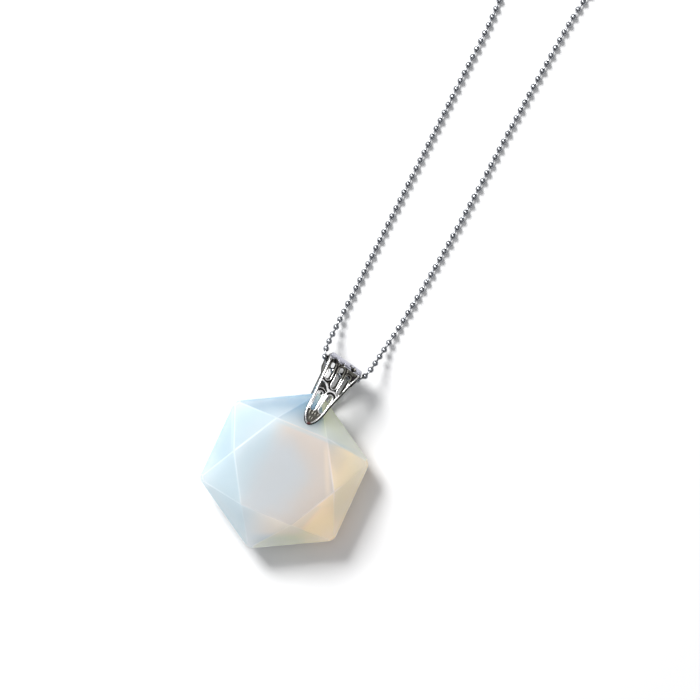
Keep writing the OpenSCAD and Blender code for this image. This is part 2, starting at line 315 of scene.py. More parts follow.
class NecklaceStone(PropertyGroup):
    radius: length_setting("Radius", "Distance from the centre to a corner", 0.021, 4)
    edge: length_setting("Edge", "Width of the polished bevel on each edge", 0.0002, 5)
    corner: length_setting("Corner", "Width of the rounding of the outline's corners", 0.0013, 5)
    ice: colour_setting("Ice", "Crown at the left, towards the top", (0.392, 0.515, 0.58))
    mist: colour_setting("Mist", "Crown at the left", (0.51, 0.62, 0.68))
    haze: colour_setting("Haze", "Crown at the lower left", (0.64, 0.71, 0.75))
    moss: colour_setting("Moss", "Crown at the bottom", (0.75, 0.775, 0.58))
    warm: colour_setting("Warm", "Crown at the lower right", (1.0, 0.80, 0.58))
    clay: colour_setting("Clay", "Crown at the right, below the middle", (0.87, 0.79, 0.605))
    sand: colour_setting("Sand", "Crown at the right", (0.965, 0.79, 0.56))
    ash: colour_setting("Ash", "Crown at the upper right", (0.575, 0.615, 0.535))
    dusk: colour_setting("Dusk", "Crown to the right of the bail", (0.62, 0.66, 0.43))
    deep: colour_setting("Deep", "Crown under the bail", (0.19, 0.31, 0.43))
    sky: colour_setting("Sky", "Crown to the left of the bail", (0.315, 0.40, 0.47))
    lit: colour_setting("Lit", "Crown turned to the light", (0.46, 0.565, 0.61))
    pale: colour_setting("Pale", "Tables towards the light", (0.505, 0.585, 0.625))
    heart: colour_setting("Heart", "Tables in the middle", (0.553, 0.578, 0.595))
    blush: colour_setting("Blush", "Tables away from the light", (0.618, 0.552, 0.498))
    rose: colour_setting("Rose", "Facets round the lowest corner of the table", (0.94, 0.82, 0.69))
    # Painted inner light: an emission that stands in for light passed through the stone
    painted_glow: colour_setting(
        "Painted_Glow", "Light that comes out of the stone at the lower right", (0.20, 0.105, 0.037))


class NecklaceBail(PropertyGroup):
    voxel: length_setting("Fineness", "Size of the smallest shape in the cast surface", 0.000075, 6)
    bright: colour_setting("Bright silver", "Colour of the raised, rubbed metal", (0.90, 0.885, 0.88))
    middle: colour_setting("Grey silver", "Colour of the plate between the ridges", (0.16, 0.155, 0.135))
    dark: colour_setting("Dark silver", "Colour of the hollows", (0.032, 0.028, 0.03))
    strap: colour_setting("Strap silver", "Colour of the rubbed metal of the strap", (0.50, 0.50, 0.565))
    copper: colour_setting("Copper", "Colour of the copper that shows at the worn tip", (0.18, 0.02, 0.015))


class NecklaceChain(PropertyGroup):
    sides: IntProperty(
        name="Sides", description="Sides of a bead round its bore", default=14, min=10, max=24)
    neck: length_setting("Neck", "Thickness of a link between two beads", 0.00044, 5)
    metal: colour_setting("Metal", "Colour of the beads", (0.42, 0.435, 0.46))


class NecklaceStage(PropertyGroup):
    view_width: length_setting("View width", "Width of what the camera sees", 0.1715, 4)
    lens: FloatProperty(name="Lens", description="Focal length", default=200.0, unit="CAMERA")
    roll: FloatProperty(
        name="Roll", description="Turn of the camera about its own axis", default=math.radians(29),
        unit="ROTATION")
    key: FloatProperty(name="Key light", description="Power of the soft light", default=29.0, unit="POWER")
    floor: colour_setting("Floor", "Colour of the floor", (0.90, 0.90, 0.90))


# Meshes

def new_object(name, data):
    made = bpy.data.objects.new(name, data)
    bpy.context.scene.collection.objects.link(made)
    return made


def mesh_object(name, points, faces):
    mesh = bpy.data.meshes.new(name)
    mesh.from_pydata(points, [], faces)
    return new_object(name, mesh)


def add_modifier(piece, kind, **values):
    made = piece.modifiers.new(kind.lower(), kind)
    for key, value in values.items():
        setattr(made, key, value)


def faces_inward(mesh):
    """Whether a closed mesh is inside out: its volume, the sum of a . (b x c) / 6, is then negative."""
    mesh.calc_loop_triangles()
    corners = np.zeros(len(mesh.loop_triangles) * 3, np.int32)
    mesh.loop_triangles.foreach_get("vertices", corners)
    places = np.zeros(len(mesh.vertices) * 3)
    mesh.vertices.foreach_get("co", places)
    a, b, c = places.reshape(-1, 3)[corners.reshape(-1, 3)].swapaxes(0, 1)
    return np.sum(a * np.cross(b, c)) < 0


def add_piece(name, points, faces, materials, smooth=True, attributes=None):
    """Makes a piece from points in millimetres and its faces, and names its body and finish."""
    piece = mesh_object(name, np.asarray(points, float) * MM, faces)
    mesh = piece.data
    for material in materials:
        mesh.materials.append(material)
    for key, values in (attributes or {}).items():
        mesh.attributes.new(key, "FLOAT", "POINT").data.foreach_set("value", np.asarray(values, np.float32))
    mesh.polygons.foreach_set("use_smooth", np.full(len(mesh.polygons), smooth))
    mesh.validate()
    if faces_inward(mesh):
        mesh.flip_normals()
    mesh.update()
    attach(piece, BODY)
    return piece


def grid_faces(rows, columns, closed_rows=False):
    """Quads of a grid of rows by columns whose columns close on themselves; the rows close too if asked."""
    last = rows if closed_rows else rows - 1
    r, c = np.meshgrid(np.arange(last), np.arange(columns), indexing="ij")
    r1 = (r + 1) % rows
    c1 = (c + 1) % columns
    corners = (r * columns + c, r * columns + c1, r1 * columns + c1, r1 * columns + c)
    return np.stack(corners, -1).reshape(-1, 4)


def ring(radius, z, sides, turn=0.0):
    """Points of a circle at one height: x = r cos(turn + 360 k / sides), y = r sin(turn + 360 k / sides)."""
    a = math.radians(turn) + 2 * np.pi * np.arange(sides) / sides
    return np.stack([radius * np.cos(a), radius * np.sin(a), np.full(sides, z)], -1)


def worked_out(blank):
    """Points, and faces as lists, of a blank with its modifiers worked out. The blank itself is removed."""
    seen = blank.evaluated_get(bpy.context.evaluated_depsgraph_get())
    shown = seen.to_mesh()
    points = np.zeros(len(shown.vertices) * 3)
    shown.vertices.foreach_get("co", points)
    faces = [tuple(p.vertices) for p in shown.polygons]
    seen.to_mesh_clear()
    bpy.data.objects.remove(blank)
    return points.reshape(-1, 3), faces


def turned(points, degrees, u=0, v=1):
    """Points turned in the plane of two axes: u' = u cos a - v sin a, v' = u sin a + v cos a."""
    a = math.radians(degrees)
    made = np.array(points, float)
    made[:, u] = points[:, u] * math.cos(a) - points[:, v] * math.sin(a)
    made[:, v] = points[:, u] * math.sin(a) + points[:, v] * math.cos(a)
    return made


def at_bail(points):
    """Places points drawn round the pegs' axis: x across the bail, y up the leg, z from back to front."""
    leaned = turned(points, BAIL_LEAN, 2, 0)
    placed = turned(leaned, -STONE_TURN - BAIL_TURN) + [0, HOLE_R, MID_Z]
    return turned(placed, STONE_TURN)


def unit(vectors):
    """Vectors of length one: v / |v|."""
    return vectors / np.linalg.norm(vectors, axis=-1, keepdims=True)


def distances(path):
    """Distance along a path at each of its points."""
    return np.concatenate([[0], np.cumsum(np.linalg.norm(np.diff(path, axis=0), axis=1))])


# Node trees

def new_material(name, **constants):
    """A material with constants on its shader's own inputs, named with underscores for spaces."""
    material = bpy.data.materials.new(name)
    material.use_nodes = True
    tree = material.node_tree
    shader = tree.nodes["Principled BSDF"]
    for key, value in constants.items():
        shader.inputs[key.replace("_", " ")].default_value = value
    return material, tree, shader


def feed(tree, value, socket):
    """Gives a socket another node's output, or a constant."""
    if isinstance(value, bpy.types.NodeSocket):
        tree.links.new(value, socket)
    else:
        socket.default_value = value


def add_node(tree, kind, operation=None, **values):
    """Adds a node; values name its inputs, with underscores for spaces, or number them after an i."""
    made = tree.nodes.new("ShaderNode" + kind)
    if operation:
        made.operation = operation
    for key, value in values.items():
        feed(tree, value, made.inputs[int(key[1:]) if key[0] == "i" else key.replace("_", " ")])
    return made


def math_node(tree, operation, a, b=0.0, clamp=False):
    made = add_node(tree, "Math", operation, i0=a, i1=b)
    made.use_clamp = clamp
    return made.outputs[0]


def product(tree, first, *others):
    for other in others:
        first = math_node(tree, "MULTIPLY", first, other)
    return first


def with_share(tree, base, value, share):
    """A value plus another's share: base + value * share."""
    return math_node(tree, "ADD", base, math_node(tree, "MULTIPLY", value, share))


def off_from(tree, value, middle):
    """Distance of a value from a middle: |value - middle|."""
    return math_node(tree, "ABSOLUTE", math_node(tree, "SUBTRACT", value, middle))


def vector_node(tree, operation, vector, **values):
    """Result of a vector operation, which is a number for a dot product, a distance or a length."""
    made = add_node(tree, "VectorMath", operation, i0=vector, **values)
    return made.outputs["Value" if operation in ("DOT_PRODUCT", "DISTANCE", "LENGTH") else "Vector"]


def towards(tree, vector, degrees, whole=1.0):
    """Reach of a vector along a way of the plan: its dot product with (cos a, sin a, 0) / whole."""
    a = math.radians(degrees)
    return vector_node(tree, "DOT_PRODUCT", vector, i1=(math.cos(a) / whole, math.sin(a) / whole, 0.0))


def height_of(tree, vector):
    return add_node(tree, "SeparateXYZ", Vector=vector).outputs["Z"]


def mix_colours(tree, factor, a, b):
    made = tree.nodes.new("ShaderNodeMix")
    made.data_type = "RGBA"
    for number, value in ((0, factor), (6, a), (7, b)):
        feed(tree, value, made.inputs[number])
    return made.outputs[2]


def map_range(tree, value, low, high, to_low=0.0, to_high=1.0):
    """Smooth step of a value from one number at the low end of its span to another at the high end."""
    made = add_node(tree, "MapRange", i0=value, i1=low, i2=high, i3=to_low, i4=to_high)
    made.interpolation_type = "SMOOTHSTEP"
    return made.outputs[0]


def rgba(colour):
    return (*colour, 1.0)


def new_group(name, inputs, outputs):
    """A node group whose sockets are given by name and kind, its inputs' values and its outputs' sockets."""
    group = bpy.data.node_groups.new(name, "ShaderNodeTree")
    for in_out, sockets in (("INPUT", inputs), ("OUTPUT", outputs)):
        for key, kind in sockets.items():
            group.interface.new_socket(key, in_out=in_out, socket_type="NodeSocket" + kind)
    return group, group.nodes.new("NodeGroupInput").outputs, group.nodes.new("NodeGroupOutput").inputs


def add_group(tree, group, **values):
    made = tree.nodes.new("ShaderNodeGroup")
    made.node_tree = group
    for key, value in values.items():
        feed(tree, value, made.inputs[key])
    return made.outputs


def grain_group():
    """Fine unevenness of worked metal: noise at two scales, as a roughness and as a height."""
    if "fine_grain" in bpy.data.node_groups:
        return bpy.data.node_groups["fine_grain"]
    group, given, made = new_group("fine_grain", {"Scale": "Float", "Smooth": "Float", "Rough": "Float"},
                                   {"Roughness": "Float", "Height": "Float"})
    place = add_node(group, "TexCoord").outputs["Object"]
    coarse = add_node(group, "TexNoise", Vector=place, Scale=given["Scale"], Detail=3.0)
    fine_scale = product(group, given["Scale"], GRAIN_FINER)
    fine = add_node(group, "TexNoise", Vector=place, Scale=fine_scale, Detail=2.0)
    both = product(group, coarse.outputs[0], fine.outputs[0])
    spread = math_node(group, "MULTIPLY", both, GRAIN_CONTRAST, clamp=True)
    span = math_node(group, "SUBTRACT", given["Rough"], given["Smooth"])
    feed(group, with_share(group, given["Smooth"], span, spread), made["Roughness"])
    feed(group, both, made["Height"])
    return group


def add_grain(tree, shader, grain):
    """Gives a shader the bump of fine grain, and returns the grain's roughness."""
    scale, smooth, rough = grain
    grain = add_group(tree, grain_group(), Scale=scale, Smooth=smooth, Rough=rough)
    bump = add_node(tree, "Bump", Height=grain["Height"], Distance=GRAIN_HEIGHT, Strength=1.0)
    feed(tree, bump.outputs[0], shader.inputs["Normal"])
    return grain["Roughness"]


def tarnish_group():
    """Silver darkened in its hollows: its height, or on the inner faces their painted light and shade,
    broken up by noise, picks dark, grey or bright metal.
    """
    if "tarnish" in bpy.data.node_groups:
        return bpy.data.node_groups["tarnish"]
    group, given, made = new_group(
        "tarnish", {"Relief": "Float", "Bright": "Color", "Middle": "Color", "Dark": "Color"},
        {"Colour": "Color", "Dullness": "Float"})
    place = add_node(group, "TexCoord").outputs["Object"]
    patches = add_node(group, "TexNoise", Vector=place, Scale=TARNISH_SCALE, Detail=4.0)
    shift = math_node(group, "SUBTRACT", patches.outputs[0], 0.5)
    relief = with_share(group, given["Relief"], shift, TARNISH_SHIFT)
    raised = map_range(group, relief, *BRIGHT_SPAN)
    colour = mix_colours(group, map_range(group, relief, *GREY_SPAN), given["Dark"], given["Middle"])
    feed(group, mix_colours(group, raised, colour, given["Bright"]), made["Colour"])
    feed(group, math_node(group, "SUBTRACT", 1.0, raised), made["Dullness"])
    return group


# Stone

def cut_stone(radius):
    """Two tables joined by two rings of corners: six facets on edges and six on corners to each side."""
    points = np.concatenate([
        ring(TABLE_R, 0, CORNERS, TABLE_TURN),
        ring(radius, MID_Z - GIRDLE_T / 2, CORNERS),
        ring(radius, MID_Z + GIRDLE_T / 2, CORNERS),
        ring(TABLE_R, STONE_T, CORNERS, TABLE_TURN),
    ])
    k = np.arange(CORNERS)
    n = (k + 1) % CORNERS
    back, lower, upper, front = k, k + CORNERS, k + 2 * CORNERS, k + 3 * CORNERS
    facets = [
        back[::-1][None],
        front[None],
        np.stack([lower, lower[n], upper[n], upper], -1),
        np.stack([upper, upper[n], front], -1),
        np.stack([front, upper[n], front[n]], -1),
        np.stack([lower, back, lower[n]], -1),
        np.stack([back, back[n], lower[n]], -1),
    ]
    return turned(points, 90 + STONE_TURN), [face for alike in facets for face in alike.tolist()]


def off_mid_plane(tree, place):
    """Distance of a point from the stone's middle plane."""
    return off_from(tree, height_of(tree, place), MID_Z * MM)


def opal_tint_and_painted_light_group():
    """Colour of milky glass, with painted light: it scatters blue towards the light and passes warm light
    away from it, and both are painted into the colour by the way to the light. The tables run from pale
    through grey to a blush with the distance from their heart. The crown's colours follow a wheel, read at
    the mean of the way a facet faces and the way to the point, so that they flow within and between facets;
    they are set darker where the light falls and lighter where the facets are shaded, and a painted emission
    stands in for the light passed out through the far side."""
    if "opal_tint_and_painted_light" in bpy.data.node_groups:
        return bpy.data.node_groups["opal_tint_and_painted_light"]
    group, tint, made = new_group("opal_tint_and_painted_light", {**dict.fromkeys(OPAL_COLOURS, "Color"), "Radius": "Float"},
                                  {"Colour": "Color", "Light": "Color"})
    place = add_node(group, "TexCoord").outputs
    in_radii = math_node(group, "DIVIDE", 1.0, tint["Radius"])
    where = vector_node(group, "SCALE", place["Object"], Scale=in_radii)
    where = vector_node(group, "MULTIPLY", where, i1=(1.0, 1.0, 0.0))
    facing = vector_node(group, "MULTIPLY", place["Normal"], i1=(1.0, 1.0, 0.0))
    facing = vector_node(group, "NORMALIZE", facing)
    clouds = add_node(group, "TexNoise", Vector=where, Scale=CLOUD_SCALE, Detail=3.0, Roughness=0.5)
    drift = math_node(group, "SUBTRACT", clouds.outputs[0], 0.5)

    # Painted light on the tables: pale towards the light, blushing away from it
    away = with_share(group, vector_node(group, "DISTANCE", where, i1=HEART), drift, BLUSH_DRIFT)
    table = mix_colours(group, map_range(group, away, *BLUSH_SPAN), tint["Heart"], tint["Blush"])
    pale = with_share(group, towards(group, where, PALE_WAY), drift, PALE_DRIFT)
    table = mix_colours(group, map_range(group, pale, *PALE_SPAN), table, tint["Pale"])

    outwards = vector_node(group, "SCALE", vector_node(group, "NORMALIZE", where), Scale=POINT_WEIGHT)
    mean = add_node(group, "SeparateXYZ", Vector=vector_node(group, "ADD", facing, i1=outwards)).outputs
    # Painted light: the wheel's colours are set by each way's place towards or away from the light
    turn = with_share(group, math_node(group, "ARCTAN2", mean["Y"], mean["X"]), drift, WHEEL_DRIFT)
    crown = tint[OPAL_WHEEL[0][1]]
    for (degrees, _), (next_degrees, name) in zip(OPAL_WHEEL, OPAL_WHEEL[1:]):
        passed = map_range(group, turn, math.radians(degrees), math.radians(next_degrees))
        crown = mix_colours(group, passed, crown, tint[name])
    sides = [map_range(group, towards(group, where, way), *span) for way, *span in ROSE_SIDES]
    rosy = product(group, *sides)
    crown = mix_colours(group, product(group, rosy, ROSE_SHARE), crown, tint["Rose"])

    upright = math_node(group, "ABSOLUTE", height_of(group, place["Normal"]))
    on_crown = map_range(group, upright, *CROWN_SPAN)
    reach = vector_node(group, "LENGTH", where)
    upper = towards(group, where, MILK_WAY)
    milk = product(group, map_range(group, reach, *MILK_SPAN), map_range(group, upper, *MILK_RISE))
    veil = mix_colours(group, map_range(group, upper, *VEIL_RISE), table, tint["Pale"])
    colour = mix_colours(group, on_crown, table, mix_colours(group, milk, crown, veil))
    # Painted see-through: lines where the far facets' edges would show through the glass
    for way, at, middle, half, long, strength, name in STREAKS:
        beside = off_from(group, towards(group, where, way), at)
        along = off_from(group, towards(group, where, way - 90), middle)
        streak = product(group, map_range(group, beside, half, 0.0),
                         map_range(group, along, long, STREAK_CORE * long, 0.0, strength))
        colour = mix_colours(group, streak, colour, tint[name])
    girdle = map_range(group, off_mid_plane(group, place["Object"]), *GIRDLE_SPAN)
    rich = add_node(group, "HueSaturation", Fac=girdle, Color=colour, **GIRDLE_RICH)
    feed(group, rich.outputs[0], made["Colour"])

    # Painted inner light on the far side: an emission that stands in for light passed through the stone
    painted_glow_masks = [map_range(group, turn, math.radians(none), math.radians(full), *shares)
               for none, full, *shares in PAINTED_GLOW_TURNS]
    painted_glow = product(group, *painted_glow_masks, map_range(group, rosy, *PAINTED_GLOW_IN_ROSE), on_crown)
    feed(group, mix_colours(group, painted_glow, BLACK, tint["Painted_Glow"]), made["Light"])
    return group


def opal_material(settings, name, roughness, painted_edge_highlights=False):
    """Milky polished glass; its polished edges carry painted highlights, paler than the facets towards the
    light, and also away from it where they are the tables'."""
    material, tree, shader = new_material(name, Roughness=roughness, **GLASS)
    colours = {key: rgba(getattr(settings, key.lower())) for key in OPAL_COLOURS}
    tint = add_group(tree, opal_tint_and_painted_light_group(), Radius=settings.radius, **colours)
    colour = tint["Colour"]
    if painted_edge_highlights:
        # Painted highlights on the polished edges: paler towards the light, and on the tables' edges away
        # from it
        place = add_node(tree, "TexCoord").outputs["Object"]
        lit = towards(tree, place, LIGHT_WAY, settings.radius)
        table_edge = map_range(tree, off_mid_plane(tree, place), *TABLE_EDGE_SPAN)
        unlit = product(tree, map_range(tree, lit, *UNLIT_SPAN), table_edge)
        share = math_node(tree, "ADD", map_range(tree, lit, *LIT_SPAN), unlit)
        highlight = mix_colours(tree, map_range(tree, lit, *HIGHLIGHT_SPAN), UNLIT_HIGHLIGHT, LIT_HIGHLIGHT)
        colour = mix_colours(tree, share, colour, highlight)
    feed(tree, colour, shader.inputs["Base Color"])
    feed(tree, tint["Light"], shader.inputs["Emission Color"])
    return material


def round_corners(stone, width):
    """Marks the upright edges at the outline's corners and rounds them."""
    mesh = stone.data
    ends = np.zeros(len(mesh.edges) * 2, int)
    mesh.edges.foreach_get("vertices", ends)
    ends = np.sort(ends.reshape(-1, 2), axis=1)
    upright = (ends[:, 1] - ends[:, 0] == CORNERS) & (ends[:, 0] >= CORNERS) & (ends[:, 1] < 3 * CORNERS)
    weights = mesh.attributes.new("bevel_weight_edge", "FLOAT", "EDGE")
    weights.data.foreach_set("value", upright.astype(np.float32))
    add_modifier(stone, "BEVEL", width=width, segments=CORNER_STEPS, limit_method="WEIGHT")


def polish_edges(stone, width):
    """Bevels all sharp edges, in the second material."""
    add_modifier(stone, "BEVEL", width=width, segments=POLISH_STEPS, limit_method="ANGLE",
                 angle_limit=POLISH_BEND, material=1, harden_normals=True)


def drill_rod():
    """A round rod along the pegs' axis, past both faces of the stone."""
    points = at_bail(np.concatenate([ring(HOLE_D / 2, z, DRILL_SIDES) for z in (-STONE_T, STONE_T)]))
    caps = [tuple(range(DRILL_SIDES - 1, -1, -1)), tuple(range(DRILL_SIDES, 2 * DRILL_SIDES))]
    return mesh_object("drill_rod", points * MM, grid_faces(2, DRILL_SIDES).tolist() + caps)


def drill(stone):
    """Takes the rod out of the stone, and puts the worked-out mesh in place of the stone's own."""
    rod = drill_rod()
    add_modifier(stone, "BOOLEAN", operation="DIFFERENCE", solver="EXACT", object=rod)
    graph = bpy.context.evaluated_depsgraph_get()
    graph.update()
    shown = bpy.data.meshes.new_from_object(
        stone.evaluated_get(graph), preserve_all_data_layers=True, depsgraph=graph)
    stone.modifiers.clear()
    old = stone.data
    stone.data = shown
    bpy.data.meshes.remove(old)
    bpy.data.objects.remove(rod)


class NECKLACE_OT_stone(Operator):
    """Cuts the stone's facets, rounds its edges and drills it for the pegs"""
    bl_idname = "necklace.stone"
    bl_label = "Stone"

    def execute(self, context):
        settings = context.scene.necklace_stone
        points, faces = cut_stone(settings.radius / MM)
        facets = opal_material(settings, "opal", FACET_ROUGHNESS)
        edges = opal_material(settings, "opal_edge", EDGE_ROUGHNESS, painted_edge_highlights=True)
        stone = add_piece("opal_stone", points, faces, [facets, edges], smooth=False)
        round_corners(stone, settings.corner)
        polish_edges(stone, settings.edge)
        drill(stone)
        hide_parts("stone")
        return {"FINISHED"}


# Bail

def leg_half(y):
    """Half width of a leg at height y: half an ellipse round the tip, then a straight taper."""
    y = np.asarray(y, float)
    round_part = np.clip((TIP_ROUND - y) / (TIP_ROUND + TIP_L), 0, 1)
    tip = LEG_HALF_W * np.sqrt(1 - round_part**2)
    return np.where(y < TIP_ROUND, tip, LEG_HALF_W + LEG_SLOPE * (y - TIP_ROUND))


def shoulder_half(y):
    """Half width of the strap and the back leg: the leg's own, widened by the shoulders round the loop."""
    return leg_half(y) + SHOULDER_W * np.interp(y, SHOULDER_HEIGHTS, SHOULDER_REACH, left=0.0)


def strip_stations():
    """The bent strip from its top to just past a tip: distance along its middle, and its inner and outer
    faces as (height, depth)."""
    a = np.radians(np.linspace(90, 0, LOOP_STEPS))
    rise = np.stack([np.sin(a), np.cos(a)], -1)
    foot_y = -TIP_L - 0.1
    inner = np.concatenate([[LOOP_Y, 0] + rise * LOOP_IN, [[foot_y, TIP_GAP]]])
    outer = np.concatenate([[LOOP_Y, 0] + rise * LOOP_OUT, [[foot_y, TIP_GAP + TIP_RIM_T]]])
    return distances((inner + outer) / 2), inner, outer


ALONG, INNER, OUTER = strip_stations()


def flat_way(y, side=1):
    """Distance along the flat strip, from its top, of a height on the bail's outer face."""
    return side * np.interp(y, OUTER[::-1, 0], ALONG[::-1])


def bend(flat):
    """Bends the flat casting: at a distance t along it, a point lies between the strip's inner face and its
    outer face in the share given by its height h, with the back leg as the front leg's mirror image."""
    v, t, h = flat.T
    way = np.abs(t)
    near = np.stack([np.interp(way, ALONG, INNER[:, k]) for k in (0, 1)], -1)
    far = np.stack([np.interp(way, ALONG, OUTER[:, k]) for k in (0, 1)], -1)
    place = near + (far - near) * h[:, None]
    return np.stack([v, place[:, 0], np.sign(t) * place[:, 1]], -1)


def unbend(points):
    """The flat place of points on a straight leg: their height gives t, and their depth gives h."""
    v, y, w = points.T
    way = flat_way(y)
    near = np.interp(way, ALONG, INNER[:, 1])
    far = np.interp(way, ALONG, OUTER[:, 1])
    return np.stack([v, np.sign(w) * way, (np.abs(w) - near) / (far - near)], -1)


def on_leg(flat):
    """Places across and up a leg of points on the flat strip."""
    return np.stack([flat[:, 0], np.interp(np.abs(flat[:, 1]), ALONG, OUTER[:, 0])], -1)


def dense(path):
    """A closed outline's points with more between them, no further apart than the slots' spacing."""
    path = np.asarray(path, float)
    out = []
    for a, b in zip(path, np.roll(path, -1, 0)):
        count = max(1, int(np.ceil(np.linalg.norm(b - a) / SLOT_SPACING)))
        out.append(a + (b - a) * np.arange(count)[:, None] / count)
    return np.concatenate(out)


def slot_outline(row):
    """Outline of a slot: half circles round its two ends, r (cos a, sin a) turned to the slot's own way."""
    low, high, width = (np.array(part, float) for part in row)
    way = unit(high - low)
    side = np.array([way[1], -way[0]])
    a = np.linspace(0, np.pi, SLOT_STEPS)[:, None]
    cap = width / 2 * (np.cos(a) * side + np.sin(a) * way)
    return dense(np.concatenate([high + cap, low - cap]))


def to_flat(path, side):
    """A path drawn on a leg as seen from outside, laid on the flat strip."""
    return np.stack([path[:, 0], flat_way(path[:, 1], side)], -1)


def strip_outline():
    """Outline of the whole flat strip, from the front tip over the top to the back tip and round again."""
    a = np.radians(np.linspace(0, 90, TIP_STEPS))
    tip = TIP_ROUND - (TIP_ROUND + TIP_L) * np.cos(a)
    front_y = np.concatenate([tip, np.arange(TIP_ROUND + LEG_SPACING, STRAP_HEIGHT, LEG_SPACING)])
    strap_y = np.arange(STRAP_HEIGHT, BAIL_H, STRAP_SPACING)
    leg_y = np.arange(STRAP_HEIGHT, TIP_ROUND, -LEG_SPACING)
    back_y = np.concatenate([[BAIL_H - 0.01], strap_y[::-1], leg_y, tip[::-1]])
    right = np.concatenate([
        np.stack([leg_half(front_y), flat_way(front_y)], -1),
        np.stack([shoulder_half(strap_y), flat_way(strap_y)], -1),
        np.stack([shoulder_half(back_y), flat_way(back_y, -1)], -1),
    ])
    return np.concatenate([right, right[-2:0:-1] * [-1, 1]])


def slab(outline, holes):
    """A flat plate with holes, closed on all sides, filled between its outlines, from height 0 to 1."""
    curve = bpy.data.curves.new("slab", "CURVE")
    curve.dimensions = "2D"
    curve.fill_mode = "BOTH"
    curve.extrude = 0.5
    for loop in [outline, *holes]:
        spline = curve.splines.new("POLY")
        spline.points.add(len(loop) - 1)
        places = np.column_stack([loop, np.zeros(len(loop)), np.ones(len(loop))])
        spline.points.foreach_set("co", places.ravel())
        spline.use_cyclic_u = True
    points, faces = worked_out(new_object("slab", curve))
    bpy.data.curves.remove(curve)
    return points + [0, 0, 0.5], faces


def peg(side):
    """A round peg along the drilled hole, from its bevelled end into a leg."""
    r = PEG_D / 2
    profile = ((r - PEG_BEVEL, PEG_FROM), (r, PEG_FROM + PEG_BEVEL), (r, PEG_TO))
    rings = [ring(radius, side * depth, PEG_SIDES) for radius, depth in profile]
    faces = grid_faces(len(profile), PEG_SIDES).tolist()
    faces += [tuple(range(PEG_SIDES)), tuple(range(2 * PEG_SIDES, 3 * PEG_SIDES))]
    return unbend(np.concatenate(rings)), faces


def to_segment(points, a, b):
    """Distance of points from a segment: |p - a - u (b - a)| with u, the share along it, held to 0..1."""
    a, b = np.asarray(a, float), np.asarray(b, float)
    span = b - a
    share = np.clip((points - a) @ span / (span @ span), 0, 1)
    return np.linalg.norm(points - a - share[:, None] * span, axis=1)


def to_slots(points, rows):
    """Distance outside the nearest slot's edge: to the slot's middle line less half its width."""
    return np.min([to_segment(points, low, high) - width / 2 for low, high, width in rows], axis=0)


def depth_inside(points, outline):
    """Distance inside a closed outline, negative outside; a point is inside if a ray from it crosses an odd
    number of the outline's edges."""
    a = np.asarray(outline, float)
    b = np.roll(a, -1, 0)
    near = np.min([to_segment(points, p, q) for p, q in zip(a, b)], axis=0)
    x, y = points.T[..., None]
    spans = (a[:, 1] > y) != (b[:, 1] > y)
    with np.errstate(divide="ignore", invalid="ignore"):
        at = a[:, 0] + (y - a[:, 1]) * (b[:, 0] - a[:, 0]) / (b[:, 1] - a[:, 1])
    inside = np.sum(spans & (x < at), axis=1) % 2 == 1
    return np.where(inside, near, -near)


def to_edge(points):
    """Distance inside a leg's edge: on the taper its half width less |x|, square to the edge; round the tip
    the ellipse's own value divided by its slope."""
    x, y = points.T
    taper = (leg_half(y) - np.abs(x)) / math.hypot(1, LEG_SLOPE)
    rise = (y - TIP_ROUND) / (TIP_ROUND + TIP_L)
    reach = np.maximum(np.hypot(x / LEG_HALF_W, rise), 0.05)
    steep = np.hypot(x / LEG_HALF_W**2, rise / (TIP_ROUND + TIP_L))
    return np.where(y < TIP_ROUND, (1 - reach) * reach / np.maximum(steep, 0.01), taper)


def bead_of(distance, middle, half):
    """Round-topped bar: sqrt(1 - ((d - middle) / half)^2), from 0 at its sides to 1 on its crest."""
    return np.sqrt(np.clip(1 - ((distance - middle) / half) ** 2, 0, 1))


def bar(base, rise, share):
    """Height of a raised bar: its base plus its rise by the share of its crest, and nothing beside it."""
    return np.where(share > 0, base + rise * share, 0)


def groove_of(distance, middle, half):
    """Soft groove: (1 + cos(pi (d - middle) / half)) / 2, from 0 at its sides to 1 in its bottom."""
    return 0.5 + 0.5 * np.cos(np.pi * np.clip(np.abs(distance - middle) / half, 0, 1))


def fade(value, none, full):
    """Smooth step from 0 at one value to 1 at another: u u (3 - 2 u) of the share u between them."""
    u = np.clip((value - none) / (full - none), 0, 1)
    return u * u * (3 - 2 * u)


